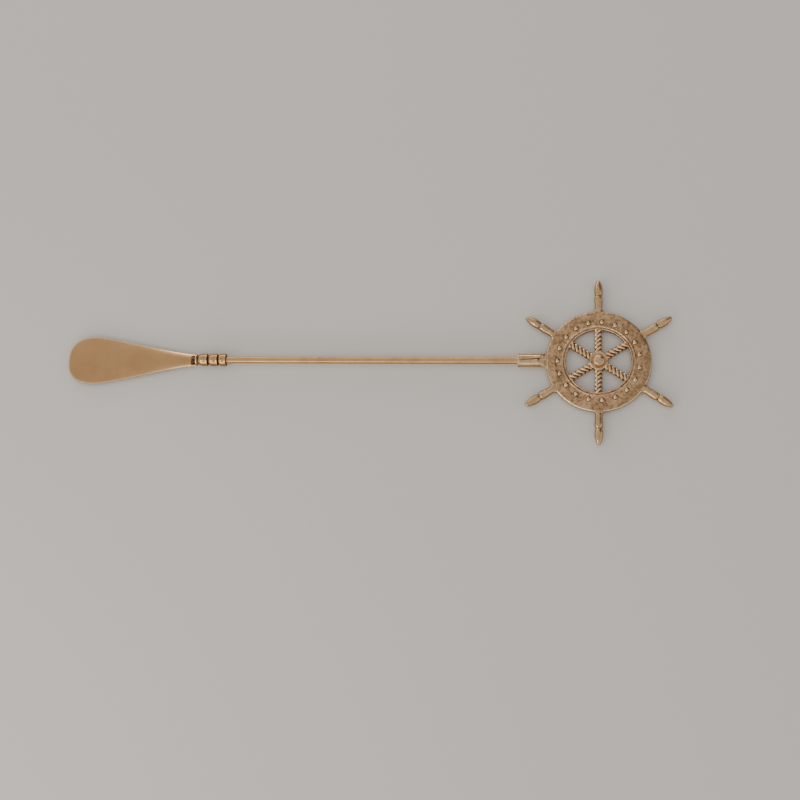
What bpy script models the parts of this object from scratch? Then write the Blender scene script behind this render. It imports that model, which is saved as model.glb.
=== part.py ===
"""A long-handled brass shoehorn whose grip is a small ship's wheel.

The shoehorn lies on a table with its shaft along X: the blade points to -X, the wheel is at +X and
the wheel's face looks up, along +Z. The origin is on the table, under the middle of the whole length.
Everything that touches the table (the six grips, the socket and the blade's belly) does so at Z = 0.
"""

import math

import bmesh
import bpy
from mathutils import Matrix, Vector

MM = 0.001

# ---- driving dimensions ----
OVERALL_LENGTH = 545 * MM
GAP = 0.3 * MM  # left between two pieces that touch

ROD_RADIUS = 3.2 * MM  # at the socket
ROD_SLIM_RADIUS = 2.85 * MM  # at the beads
SPIGOT_RADIUS = 1.9 * MM  # the rod's turned-down end, which holds the beads and the collar together

BLADE_LENGTH = 120 * MM
BLADE_HALF_WIDTH = 22.4 * MM
BLADE_DEPTH = 3.0 * MM  # of the hollow at the widest place
BLADE_TIP_LENGTH = 26.0 * MM  # from the tip to the widest place
BLADE_SHEET = 1.2 * MM
BLADE_NECK_WIDTH = 5.7 * MM  # half the width of the shallow gutter in which the blade ends
BLADE_NECK_DEPTH = 1.7 * MM
BLADE_NECK_RISE = 3.7 * MM  # of the blade's belly over the table at the neck
NECK_RADIUS = 5.3 * MM  # of the collar
TOE_LIFT = 2.8 * MM

TONGUE_LENGTH = 5.4 * MM  # the thin tongue of the collar, which lies in the gutter's end
TONGUE_TOP = 0.2 * MM  # over the shaft's axis
COLLAR_LENGTH = 1.3 * MM
BEAD_PITCH = 9.3 * MM
LAST_BEAD_LENGTH = 7.8 * MM
BEAD_RADIUS = 5.7 * MM
LAST_BEAD_RADIUS = 5.9 * MM
BEAD_COUNT = 3

SOCKET_RADIUS = 5.85 * MM
LIP_RADIUS = 6.2 * MM  # the socket's mouth
SOCKET_REACH = 70.5 * MM  # from the wheel's centre to the socket's mouth
SOCKET_DEPTH = 16 * MM
SCARF_LENGTH = 5.2 * MM  # the sloped cut in which the socket runs out on to the rim
FLARE = 0.9 * MM  # how much wider the socket is where it meets the rim
LUG_SPIGOT_RADIUS = 1.2 * MM

TIP_RADIUS = 75.7 * MM  # from the wheel's centre to the grips' tips
SIDE_ANGLE = 32.5  # degrees from the shaft's line to the grips on either side of it
GRIP_RADIUS = 3.75 * MM
TENON_RADIUS = 1.2 * MM  # of spokes and grips
TENON_DEPTH = 5.6 * MM  # of a grip in the rim

RIM_OUTER = 46.1 * MM
RIM_INNER = 28.6 * MM
RIM_HALF_THICKNESS = 2.4 * MM
RIM_EDGE = 0.8 * MM
CHANNEL_DEPTH = 0.6 * MM  # of the band that holds the rivets
RIVET_CIRCLE = 35.9 * MM
RIVET_COUNT = 19
RIVET_HEAD = 1.9 * MM
RIVET_HEIGHT = 1.2 * MM
RIVET_SHANK = 1.0 * MM

ROPE_RADIUS = 3.3 * MM
ROPE_GROOVE = 0.85 * MM
ROPE_STRANDS = 3
ROPE_PITCH = 11.8 * MM
SPOKE_TENON = 3.0 * MM

HUB_RADIUS = 8.5 * MM
HUB_HALF_THICKNESS = 2.8 * MM
CAP_RADIUS = 6.0 * MM
CAP_HEIGHT = 3.0 * MM
CAP_STUD = 1.5 * MM

# ---- places that follow from them ----
AXIS_Z = LIP_RADIUS  # the shaft's axis
WHEEL_Z = GRIP_RADIUS  # the wheel's middle plane
WHEEL_X = OVERALL_LENGTH / 2 - TIP_RADIUS * math.cos(math.radians(SIDE_ANGLE))
TIP_X = -OVERALL_LENGTH / 2
COLLAR_X = TIP_X + BLADE_LENGTH + GAP
BEADS_X = COLLAR_X + COLLAR_LENGTH + GAP
ROD_X = BEADS_X + (BEAD_COUNT - 1) * BEAD_PITCH + LAST_BEAD_LENGTH
MOUTH_X = WHEEL_X - SOCKET_REACH
SPOKE_ANGLES = (90, SIDE_ANGLE, -SIDE_ANGLE, -90, SIDE_ANGLE - 180, 180 - SIDE_ANGLE)


# ---- helpers ----
def brass(name, colour, roughness):
    """A brass finish: its colour, and how rough the metal is."""
    made = bpy.data.materials.new(name)
    made.use_nodes = True
    shader = made.node_tree.nodes["Principled BSDF"]
    shader.inputs["Base Color"].default_value = (*colour, 1)
    shader.inputs["Metallic"].default_value = 1
    shader.inputs["Roughness"].default_value = roughness
    return made


def as_mesh(name, bm, finish=None):
    """Ends a bmesh as a smooth-shaded mesh whose hard edges stay sharp."""
    bmesh.ops.recalc_face_normals(bm, faces=bm.faces)
    mesh = bpy.data.meshes.new(name)
    bm.to_mesh(mesh)
    bm.free()
    mesh.shade_smooth()
    mesh.set_sharp_from_angle(angle=math.radians(35))
    if finish:
        mesh.materials.append(finish)
    return mesh


def place(name, mesh, parent=None, location=(0, 0, 0), turn=0.0):
    """An object of this mesh, turned about Z by so many degrees."""
    made = bpy.data.objects.new(name, mesh)
    made.location = location
    made.rotation_euler = (0, 0, math.radians(turn))
    made.parent = parent
    bpy.context.scene.collection.objects.link(made)
    return made


def empty(name, location):
    made = bpy.data.objects.new(name, None)
    made.location = location
    bpy.context.scene.collection.objects.link(made)
    return made


def helper(name, bm, parent=None, location=(0, 0, 0)):
    """A cutter, or a shape to join on: it isn't a piece of the object."""
    made = place(name, as_mesh(name, bm), parent, location)
    made.hide_render = True
    made.display_type = "WIRE"
    return made


def boolean(piece, operation, other):
    step = piece.modifiers.new(other.name, "BOOLEAN")
    step.operation = operation
    step.object = other


def turned(outline, segments, axis="X", ring=False):
    """A shape turned about an axis from (place along it, radius) points. A ring's outline closes."""
    bm = bmesh.new()
    along = Vector((1, 0, 0)) if axis == "X" else Vector((0, 0, 1))
    across = Vector((0, 0, 1)) if axis == "X" else Vector((1, 0, 0))
    corners = [bm.verts.new(along * a + across * r) for a, r in outline]
    pairs = list(zip(corners, corners[1:]))
    if ring:
        pairs.append((corners[-1], corners[0]))
    edges = [bm.edges.new(pair) for pair in pairs]
    bmesh.ops.spin(
        bm,
        geom=corners + edges,
        cent=(0, 0, 0),
        axis=along,
        angle=2 * math.pi,
        steps=segments,
        use_merge=True,
    )
    bmesh.ops.remove_doubles(bm, verts=bm.verts, dist=1e-6)
    return bm


def pin(radius, start, end, sides=12):
    """A plain round pin along X."""
    return turned([(start, 0), (start, radius), (end, radius), (end, 0)], sides)


def add_turned_copy(bm, other, turn, lift=0.0):
    """Adds another bmesh to bm, turned about Z by so many degrees, and frees it."""
    mesh = bpy.data.meshes.new("copy")
    other.to_mesh(mesh)
    other.free()
    mesh.transform(Matrix.Translation((0, 0, lift)) @ Matrix.Rotation(math.radians(turn), 4, "Z"))
    bm.from_mesh(mesh)
    bpy.data.meshes.remove(mesh)


# ---- the blade ----
def blade_half_width(distance):
    """Half the blade's width at a distance from its tip: a round end, then a slow draw-in to the neck."""
    if distance < BLADE_TIP_LENGTH:
        roundness = 2.42  # of a superellipse, and 2 is a true ellipse
        left = 1 - distance / BLADE_TIP_LENGTH
        return BLADE_HALF_WIDTH * (1 - left**roundness) ** (1 / roundness)
    share = (distance - BLADE_TIP_LENGTH) / (BLADE_LENGTH - BLADE_TIP_LENGTH)
    swell = (1 - min(share, 1) ** 1.29) ** 1.4
    return BLADE_NECK_WIDTH + (BLADE_HALF_WIDTH - BLADE_NECK_WIDTH) * swell


def blade_section(distance):
    """The height of the belly over the table here, and the radius of the blade's round section."""
    share = max(0, (distance - BLADE_TIP_LENGTH) / (BLADE_LENGTH - BLADE_TIP_LENGTH))
    depth = BLADE_DEPTH + (BLADE_NECK_DEPTH - BLADE_DEPTH) * share
    widest = blade_half_width(max(distance, BLADE_TIP_LENGTH))
    return BLADE_NECK_RISE * share**1.8, (widest**2 + depth**2) / (2 * depth)


def blade_point(distance, across):
    """A point on the blade's underside: across runs from -1 to 1 over the width."""
    half_width = blade_half_width(distance)
    belly, radius = blade_section(distance)
    angle = across * math.asin(min(1, half_width / radius))
    toe = max(0, 1 - distance / (1.6 * BLADE_TIP_LENGTH))
    return Vector(
        (
            TIP_X + distance,
            radius * math.sin(angle),
            belly + radius * (1 - math.cos(angle)) + TOE_LIFT * toe**2,
        )
    )


def make_blade(finish):
    bm = bmesh.new()
    bmesh.ops.create_grid(bm, x_segments=22, y_segments=10, size=1)
    for v in bm.verts:
        share = (v.co.x + 1) / 2
        distance = BLADE_LENGTH * (1 - math.cos(share * math.pi / 2))
        v.co = blade_point(distance, v.co.y)
    bmesh.ops.remove_doubles(bm, verts=bm.verts, dist=1e-6)
    piece = place("blade", as_mesh("blade", bm, finish))
    sheet = piece.modifiers.new("sheet", "SOLIDIFY")
    sheet.thickness = BLADE_SHEET
    sheet.offset = -1


# ---- the neck: collar and beads on the rod's spigot ----
def make_collar(finish):
    """A thin disc with a tongue that fills the end of the blade's gutter."""
    bore = SPIGOT_RADIUS + GAP
    edge = 0.35 * MM
    disc = [
        (COLLAR_X, bore),
        (COLLAR_X, NECK_RADIUS - edge),
        (COLLAR_X + edge, NECK_RADIUS),
        (COLLAR_X + COLLAR_LENGTH - edge, NECK_RADIUS),
        (COLLAR_X + COLLAR_LENGTH, NECK_RADIUS - edge),
        (COLLAR_X + COLLAR_LENGTH, bore),
    ]
    collar = place("neck_collar", as_mesh("neck_collar", turned(disc, 24, ring=True), finish))
    collar.location = (0, 0, AXIS_Z)
    belly, radius = blade_section(BLADE_LENGTH)
    middle = belly + radius
    tongue = pin(radius - BLADE_SHEET - GAP, COLLAR_X - TONGUE_LENGTH, COLLAR_X + edge, 60)
    cut = bmesh.ops.bisect_plane(
        tongue,
        geom=tongue.verts[:] + tongue.edges[:] + tongue.faces[:],
        plane_co=(0, 0, AXIS_Z + TONGUE_TOP - middle),
        plane_no=(0, 0, 1),
        clear_outer=True,
    )
    rim = [part for part in cut["geom_cut"] if isinstance(part, bmesh.types.BMEdge)]
    bmesh.ops.holes_fill(tongue, edges=rim, sides=0)
    boolean(collar, "UNION", helper("collar_tongue", tongue, location=(0, 0, middle)))


def make_beads(finish):
    """Beads that swell from the blade's side and turn in sharply on the shaft's. The last ends in a lip."""
    bore = SPIGOT_RADIUS + GAP
    # Both profiles are (share of the length, share of the radius).
    foot = [(0, 0.6), (0.05, 0.74), (0.17, 0.86), (0.36, 0.94)]
    bell = foot + [(0.6, 0.985), (0.8, 1), (0.93, 0.96), (1, 0.62)]
    lipped = foot + [(0.6, 0.94), (0.8, 0.93), (0.93, 1), (1, 0.98)]
    for number in range(BEAD_COUNT):
        last = number == BEAD_COUNT - 1
        start = BEADS_X + number * BEAD_PITCH
        length = (LAST_BEAD_LENGTH if last else BEAD_PITCH) - GAP
        radius = LAST_BEAD_RADIUS if last else BEAD_RADIUS
        outline = [(start, bore)]
        outline += [(start + a * length, r * radius) for a, r in (lipped if last else bell)]
        outline += [(start + length, bore)]
        name = f"neck_bead_{number + 1}"
        place(name, as_mesh(name, turned(outline, 20, ring=True), finish), location=(0, 0, AXIS_Z))


def make_rod(finish):
    start = COLLAR_X + COLLAR_LENGTH / 2
    end = MOUTH_X + SOCKET_DEPTH - GAP
    chamfer = 0.4 * MM
    outline = [
        (start, 0),
        (start, SPIGOT_RADIUS),
        (ROD_X, SPIGOT_RADIUS),
        (ROD_X, ROD_SLIM_RADIUS - chamfer),
        (ROD_X + chamfer, ROD_SLIM_RADIUS),
        (end - chamfer, ROD_RADIUS),
        (end, ROD_RADIUS - chamfer),
        (end, 0),
    ]
    place("shaft_rod", as_mesh("shaft_rod", turned(outline, 20), finish), location=(0, 0, AXIS_Z))


# ---- the wheel ----
def make_socket(finish):
    """The tube that takes the rod. It slopes down to the rim's face and has a spigot into the rim."""
    bore = ROD_RADIUS + GAP
    lip = 1.4 * MM
    step = 0.35 * MM
    end = WHEEL_X - RIM_OUTER + 2 * MM
    outline = [
        (MOUTH_X + SOCKET_DEPTH, 0),
        (MOUTH_X + SOCKET_DEPTH, bore),
        (MOUTH_X, bore),
        (MOUTH_X, LIP_RADIUS - step),
        (MOUTH_X + step, LIP_RADIUS),
        (MOUTH_X + lip, LIP_RADIUS),
        (MOUTH_X + lip + step, SOCKET_RADIUS),
        (end, SOCKET_RADIUS),
        (end, 0),
    ]
    tube = as_mesh("wheel_socket", turned(outline, 24), finish)
    socket = place("wheel_socket", tube, location=(0, 0, AXIS_Z))
    # The wide foot, as thick as the rim.
    foot_length = SCARF_LENGTH + 1 * MM
    foot = bmesh.new()
    bmesh.ops.create_cube(foot, size=1)
    foot_width = 2 * (SOCKET_RADIUS + FLARE)
    bmesh.ops.scale(foot, vec=(foot_length, foot_width, 1.9 * RIM_HALF_THICKNESS), verts=foot.verts)
    upright = [e for e in foot.edges if abs((e.verts[0].co - e.verts[1].co).z) > RIM_HALF_THICKNESS]
    near = [e for e in upright if e.verts[0].co.x < 0]
    bmesh.ops.bevel(foot, geom=near, offset=4 * MM, segments=3, profile=0.5, affect="EDGES")
    foot_middle = (end - foot_length / 2, 0, WHEEL_Z)
    boolean(socket, "UNION", helper("socket_foot", foot, location=foot_middle))
    # The sloped cut, from the tube's top down to the rim's face.
    rise = AXIS_Z + SOCKET_RADIUS - WHEEL_Z - RIM_HALF_THICKNESS
    slope = math.atan2(rise, SCARF_LENGTH)
    size = 40 * MM
    wedge = bmesh.new()
    bmesh.ops.create_cube(wedge, size=size)
    bmesh.ops.translate(wedge, vec=(size / 2, 0, size / 2), verts=wedge.verts)
    bmesh.ops.rotate(wedge, cent=(0, 0, 0), matrix=Matrix.Rotation(slope, 3, "Y"), verts=wedge.verts)
    bmesh.ops.translate(wedge, vec=(-size * math.cos(slope), 0, size * math.sin(slope)), verts=wedge.verts)
    low = (WHEEL_X - RIM_OUTER - GAP, 0, WHEEL_Z + RIM_HALF_THICKNESS)
    boolean(socket, "DIFFERENCE", helper("socket_scarf", wedge, location=low))
    reach = RIM_OUTER + GAP
    room = turned([(-9 * MM, 0), (-9 * MM, reach), (15 * MM, reach), (15 * MM, 0)], 96, axis="Z")
    boolean(socket, "DIFFERENCE", helper("rim_room", room, location=(WHEEL_X, 0, WHEEL_Z)))
    spigot = pin(LUG_SPIGOT_RADIUS, -RIM_OUTER - 3 * MM, -RIM_OUTER + TENON_DEPTH - GAP)
    boolean(socket, "UNION", helper("socket_spigot", spigot, location=(WHEEL_X, 0, WHEEL_Z)))


def rim_outline():
    """(height over the middle plane, radius) around the rim's section, anticlockwise from the back."""
    back, face = -RIM_HALF_THICKNESS, RIM_HALF_THICKNESS
    channel = face - CHANNEL_DEPTH
    edge = RIM_EDGE
    return [
        (back, RIM_INNER + edge),
        (back, RIM_OUTER - edge),
        (back + edge, RIM_OUTER),
        (face - edge, RIM_OUTER),
        (face, RIM_OUTER - edge),
        (face, RIVET_CIRCLE + 2.6 * MM),
        (channel, RIVET_CIRCLE + 2.2 * MM),
        (channel, RIM_INNER + 3.9 * MM),
        (face, RIM_INNER + 3.3 * MM),
        (face, RIM_INNER + 2.6 * MM),
        (channel, RIM_INNER + 2.1 * MM),
        (channel, RIM_INNER + 1.6 * MM),
        (face - 0.2 * MM, RIM_INNER + 1.1 * MM),
        (face - 0.2 * MM, RIM_INNER + 0.6 * MM),
        (face - edge, RIM_INNER),
        (back + edge, RIM_INNER),
    ]


def make_rim(wheel, finish):
    ring = as_mesh("wheel_rim", turned(rim_outline(), 60, axis="Z", ring=True), finish)
    rim = place("wheel_rim", ring, wheel)
    holes = bmesh.new()
    for angle in SPOKE_ANGLES:
        for_spoke = pin(TENON_RADIUS + GAP, RIM_INNER - 2 * MM, RIM_INNER + SPOKE_TENON, 8)
        for_grip = pin(TENON_RADIUS + GAP, RIM_OUTER - TENON_DEPTH, RIM_OUTER + 2 * MM, 8)
        add_turned_copy(holes, for_spoke, angle)
        add_turned_copy(holes, for_grip, angle)
    for_socket = pin(LUG_SPIGOT_RADIUS + GAP, RIM_OUTER - TENON_DEPTH, RIM_OUTER + 2 * MM)
    add_turned_copy(holes, for_socket, 180)
    through = RIM_HALF_THICKNESS + 1 * MM
    for angle in rivet_angles():
        hole = turned(
            [(-through, 0), (-through, RIVET_SHANK + GAP), (through, RIVET_SHANK + GAP), (through, 0)],
            8,
            axis="Z",
        )
        bmesh.ops.translate(hole, vec=(RIVET_CIRCLE, 0, 0), verts=hole.verts)
        add_turned_copy(holes, hole, angle)
    boolean(rim, "DIFFERENCE", helper("rim_holes", holes, wheel))


def rivet_angles():
    """Evenly round the rim, starting in line with the shaft."""
    return [180 + number * 360 / RIVET_COUNT for number in range(RIVET_COUNT)]


def make_rivets(wheel, finish):
    seat = RIM_HALF_THICKNESS - CHANNEL_DEPTH + GAP
    tail = -RIM_HALF_THICKNESS + 0.2 * MM
    outline = [(tail, 0), (tail, RIVET_SHANK), (seat, RIVET_SHANK), (seat, RIVET_HEAD)]
    for degrees in (35, 65, 90):
        angle = math.radians(degrees)
        outline.append((seat + RIVET_HEIGHT * math.sin(angle), RIVET_HEAD * math.cos(angle)))
    mesh = as_mesh("rim_rivet", turned(outline, 8, axis="Z"), finish)
    for number, angle in enumerate(rivet_angles()):
        spot = Matrix.Rotation(math.radians(angle), 3, "Z") @ Vector((RIVET_CIRCLE, 0, 0))
        place(f"rim_rivet_{number + 1:02d}", mesh, wheel, spot)


def rope_radius(angle):
    """The laid rope's radius at an angle round it: rounded strands with sharp grooves between them."""
    return ROPE_RADIUS - ROPE_GROOVE * (1 - abs(math.cos(ROPE_STRANDS * angle / 2)))


def make_spokes(wheel, finish):
    """Rope-twist spokes with a round tenon at each end."""
    start = HUB_RADIUS + GAP
    end = math.sqrt(RIM_INNER**2 - ROPE_RADIUS**2) - GAP
    steps = 11
    around = 12
    bm = bmesh.new()
    section = []
    for number in range(around):
        angle = 2 * math.pi * number / around
        radius = rope_radius(angle)
        section.append(bm.verts.new((start, radius * math.sin(angle), radius * math.cos(angle))))
    face = bm.faces.new(section)
    bmesh.ops.spin(
        bm,
        geom=[face],
        cent=(0, 0, 0),
        axis=(1, 0, 0),
        dvec=((end - start) / steps, 0, 0),
        angle=2 * math.pi * (end - start) / ROPE_PITCH,
        steps=steps,
    )
    bmesh.ops.holes_fill(bm, edges=[e for e in bm.edges if e.is_boundary], sides=0)
    mesh = as_mesh("rope_spoke", bm, finish)
    both_tenons = pin(TENON_RADIUS, start - SPOKE_TENON + GAP, end + SPOKE_TENON, 10)
    tenons = helper("spoke_tenons", both_tenons, wheel)
    for number, angle in enumerate(SPOKE_ANGLES):
        spoke = place(f"rope_spoke_{number + 1}", mesh, wheel, turn=angle)
        own_tenons = tenons if number == 0 else tenons.copy()
        if number:
            bpy.context.scene.collection.objects.link(own_tenons)
        own_tenons.rotation_euler = spoke.rotation_euler
        boolean(spoke, "UNION", own_tenons)


def make_grips(wheel, finish):
    """Turned hand grips: a shank that swells outwards, a narrow neck and a pointed knob."""
    base = RIM_OUTER + GAP
    tenon_end = RIM_OUTER - TENON_DEPTH + GAP
    outline = [
        (tenon_end, 0),
        (tenon_end, TENON_RADIUS),
        (base, TENON_RADIUS),
        (base, 3.15 * MM),
        (50.0 * MM, 3.25 * MM),
        (54.5 * MM, GRIP_RADIUS),
        (57.3 * MM, GRIP_RADIUS),
        (59.0 * MM, 3.1 * MM),
        (60.4 * MM, 2.7 * MM),
        (61.8 * MM, 3.1 * MM),
        (64.0 * MM, GRIP_RADIUS),
        (67.0 * MM, 3.6 * MM),
        (70.3 * MM, 3.1 * MM),
        (73.2 * MM, 2.3 * MM),
        (TIP_RADIUS - 0.6 * MM, 1.4 * MM),
        (TIP_RADIUS, 0),
    ]
    mesh = as_mesh("hand_grip", turned(outline, 12), finish)
    for number, angle in enumerate(SPOKE_ANGLES):
        place(f"hand_grip_{number + 1}", mesh, wheel, turn=angle)


def make_hub(wheel, finish):
    bottom, top = -HUB_HALF_THICKNESS, HUB_HALF_THICKNESS + 0.4 * MM
    edge = 0.8 * MM
    bore = CAP_STUD + GAP
    outline = [
        (bottom, bore),
        (bottom, HUB_RADIUS - edge),
        (bottom + edge, HUB_RADIUS),
        (top - edge, HUB_RADIUS),
        (top, HUB_RADIUS - edge),
        (top, bore),
    ]
    boss = as_mesh("wheel_hub", turned(outline, 32, axis="Z", ring=True), finish)
    hub = place("wheel_hub", boss, wheel)
    holes = bmesh.new()
    for angle in SPOKE_ANGLES:
        hole = pin(TENON_RADIUS + GAP, HUB_RADIUS + GAP - SPOKE_TENON, HUB_RADIUS + 2 * MM, 8)
        add_turned_copy(holes, hole, angle)
    boolean(hub, "DIFFERENCE", helper("hub_holes", holes, wheel))
    seat = top + GAP
    stud_end = bottom + 0.1 * MM
    spring = seat + 0.5 * MM  # where the dome springs from the cap's edge
    cap = [(stud_end, 0), (stud_end, CAP_STUD), (seat, CAP_STUD), (seat, CAP_RADIUS), (spring, CAP_RADIUS)]
    for degrees in (25, 50, 70, 90):
        angle = math.radians(degrees)
        height = (CAP_HEIGHT - spring + seat) * math.sin(angle)
        cap.append((spring + height, CAP_RADIUS * math.cos(angle)))
    place("hub_cap", as_mesh("hub_cap", turned(cap, 20, axis="Z"), finish), wheel)


def main():
    for old in list(bpy.data.objects):
        bpy.data.objects.remove(old)
    blade_brass = brass("blade_brass", (0.42, 0.26, 0.125), 0.32)
    rod_brass = brass("rod_brass", (0.52, 0.34, 0.15), 0.25)
    bead_brass = brass("bead_brass", (0.50, 0.32, 0.15), 0.22)
    socket_brass = brass("socket_brass", (0.50, 0.34, 0.18), 0.28)
    rim_brass = brass("rim_brass", (0.36, 0.25, 0.14), 0.42)
    rivet_brass = brass("rivet_brass", (0.50, 0.34, 0.19), 0.28)
    rope_brass = brass("rope_brass", (0.48, 0.33, 0.18), 0.3)
    grip_brass = brass("grip_brass", (0.50, 0.34, 0.18), 0.28)
    hub_brass = brass("hub_brass", (0.45, 0.30, 0.16), 0.34)

    make_blade(blade_brass)
    make_collar(bead_brass)
    make_beads(bead_brass)
    make_rod(rod_brass)
    make_socket(socket_brass)
    wheel = empty("wheel", (WHEEL_X, 0, WHEEL_Z))
    make_rim(wheel, rim_brass)
    make_rivets(wheel, rivet_brass)
    make_spokes(wheel, rope_brass)
    make_grips(wheel, grip_brass)
    make_hub(wheel, hub_brass)


main()
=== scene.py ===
import math

import bmesh
import bpy
from mathutils import Matrix, Vector, noise


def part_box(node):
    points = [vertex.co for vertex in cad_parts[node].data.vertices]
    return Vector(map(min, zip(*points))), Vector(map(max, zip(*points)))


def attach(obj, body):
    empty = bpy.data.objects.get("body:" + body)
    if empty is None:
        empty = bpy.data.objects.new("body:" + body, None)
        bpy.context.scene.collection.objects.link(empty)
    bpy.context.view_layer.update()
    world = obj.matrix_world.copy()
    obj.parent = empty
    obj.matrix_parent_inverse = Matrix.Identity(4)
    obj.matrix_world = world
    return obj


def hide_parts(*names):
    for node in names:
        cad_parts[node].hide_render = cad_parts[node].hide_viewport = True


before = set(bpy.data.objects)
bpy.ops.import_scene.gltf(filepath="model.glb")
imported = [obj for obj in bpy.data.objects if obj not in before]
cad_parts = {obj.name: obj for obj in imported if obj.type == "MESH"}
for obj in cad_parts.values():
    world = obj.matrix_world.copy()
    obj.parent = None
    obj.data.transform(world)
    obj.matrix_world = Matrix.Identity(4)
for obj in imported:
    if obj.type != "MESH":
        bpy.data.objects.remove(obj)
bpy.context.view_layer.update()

mm = 0.001


# places and sizes that the frame gives
def middleOf(node):
    low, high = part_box(node)
    return (low + high) / 2


rimLow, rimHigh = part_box("wheel_rim")
wheelCentre = (rimLow + rimHigh) / 2
rimRadius = (rimHigh.x - rimLow.x) / 2
rimHalf = (rimHigh.z - rimLow.z) / 2
shaftZ = middleOf("shaft_rod").z
toShaft = Matrix.Translation((0, 0, shaftZ))
bladeLow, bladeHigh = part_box("blade")
print("frame loaded:", len(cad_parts), "nodes, wheel at", round(wheelCentre.x, 4))


def smoothLine(points, steps):
    # an even, rounded line through a few points
    ends = [points[0], *points, points[-1]]
    line = []
    for i in range(len(points) - 1):
        p0, p1, p2, p3 = (Vector(p) for p in ends[i:i + 4])
        for k in range(steps):
            t = k / steps
            line.append(0.5 * (2 * p1 + (p2 - p0) * t + (2 * p0 - 5 * p1 + 4 * p2 - p3) * t ** 2
                               + (3 * p1 - p0 - 3 * p2 + p3) * t ** 3))
    line.append(Vector(points[-1]))
    return line


def spinLine(line, steps, axis, closed=False):
    # turns (along, radius) points about X or Z
    bm = bmesh.new()
    along = Vector((1, 0, 0)) if axis == "X" else Vector((0, 0, 1))
    across = Vector((0, 0, 1)) if axis == "X" else Vector((1, 0, 0))
    verts = [bm.verts.new(along * p[0] + across * p[1]) for p in line]
    edges = [bm.edges.new(pair) for pair in zip(verts, verts[1:])]
    if closed:
        edges.append(bm.edges.new((verts[-1], verts[0])))
    bmesh.ops.spin(bm, geom=verts + edges, cent=(0, 0, 0), axis=along, angle=2 * math.pi,
                   steps=steps, use_merge=True)
    bmesh.ops.remove_doubles(bm, verts=bm.verts, dist=1e-6)
    return bm


def wobble(place, size, seed):
    # a slow, repeatable unevenness from -1 to 1
    return noise.noise(Vector(place) / size + Vector((seed, -seed, 0.37 * seed)))


def ease(value):
    # 0 to 1, with a soft start and a soft end
    value = min(1, max(0, value))
    return value * value * (3 - 2 * value)


def mark(bm, name, rule):
    # a value for each vertex that the finishes read
    layer = bm.verts.layers.float.new(name)
    for v in bm.verts:
        v[layer] = min(1, max(0, rule(v.co)))


def addPiece(name, bm, finish, nodes, move=None, sharp=60):
    bmesh.ops.recalc_face_normals(bm, faces=bm.faces)
    if move is not None:
        bmesh.ops.transform(bm, matrix=move, verts=bm.verts)
    mesh = bpy.data.meshes.new(name)
    bm.to_mesh(mesh)
    bm.free()
    mesh.shade_smooth()
    mesh.set_sharp_from_angle(angle=math.radians(sharp))
    mesh.materials.append(finish)
    piece = bpy.data.objects.new(name, mesh)
    bpy.context.scene.collection.objects.link(piece)
    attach(piece, "root")
    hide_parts(*nodes)
    return piece


def addNode(tree, kind, **values):
    made = tree.nodes.new(kind)
    for key, value in values.items():
        setattr(made, key, value)
    return made


def newGroup(name, inputs, outputs):
    tree = bpy.data.node_groups.new(name, "ShaderNodeTree")
    for label, kind, value in inputs:
        made = tree.interface.new_socket(label, in_out="INPUT", socket_type=kind)
        made.default_value = value
    for label, kind in outputs:
        tree.interface.new_socket(label, in_out="OUTPUT", socket_type=kind)
    return tree, tree.nodes.new("NodeGroupInput"), tree.nodes.new("NodeGroupOutput")


def cloudNode(tree, coords, scaleFrom, detail, rough):
    made = addNode(tree, "ShaderNodeTexNoise")
    made.inputs["Detail"].default_value = detail
    made.inputs["Roughness"].default_value = rough
    tree.links.new(coords, made.inputs["Vector"])
    tree.links.new(scaleFrom, made.inputs["Scale"])
    return made.outputs["Fac"]


def mathNode(tree, operation, first, second, clamp=False):
    made = addNode(tree, "ShaderNodeMath", operation=operation, use_clamp=clamp)
    for socket, value in zip(made.inputs, (first, second)):
        if isinstance(value, (int, float)):
            socket.default_value = value
        else:
            tree.links.new(value, socket)
    return made.outputs[0]


def rampNode(tree, value, low, high, outLow=0.0, outHigh=1.0):
    made = addNode(tree, "ShaderNodeMapRange", interpolation_type="SMOOTHSTEP")
    tree.links.new(value, made.inputs["Value"])
    for label, number in (("From Min", low), ("From Max", high), ("To Min", outLow), ("To Max", outHigh)):
        if isinstance(number, (int, float)):
            made.inputs[label].default_value = number
        else:
            tree.links.new(number, made.inputs[label])
    return made.outputs["Result"]


def mixNode(tree, amount, first, second):
    made = addNode(tree, "ShaderNodeMix", data_type="RGBA")
    for socket, value in ((made.inputs[0], amount), (made.inputs[6], first), (made.inputs[7], second)):
        if isinstance(value, (int, float)):
            socket.default_value = value
        elif isinstance(value, tuple):
            socket.default_value = (*value, 1)
        else:
            tree.links.new(value, socket)
    return made.outputs[2]


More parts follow.
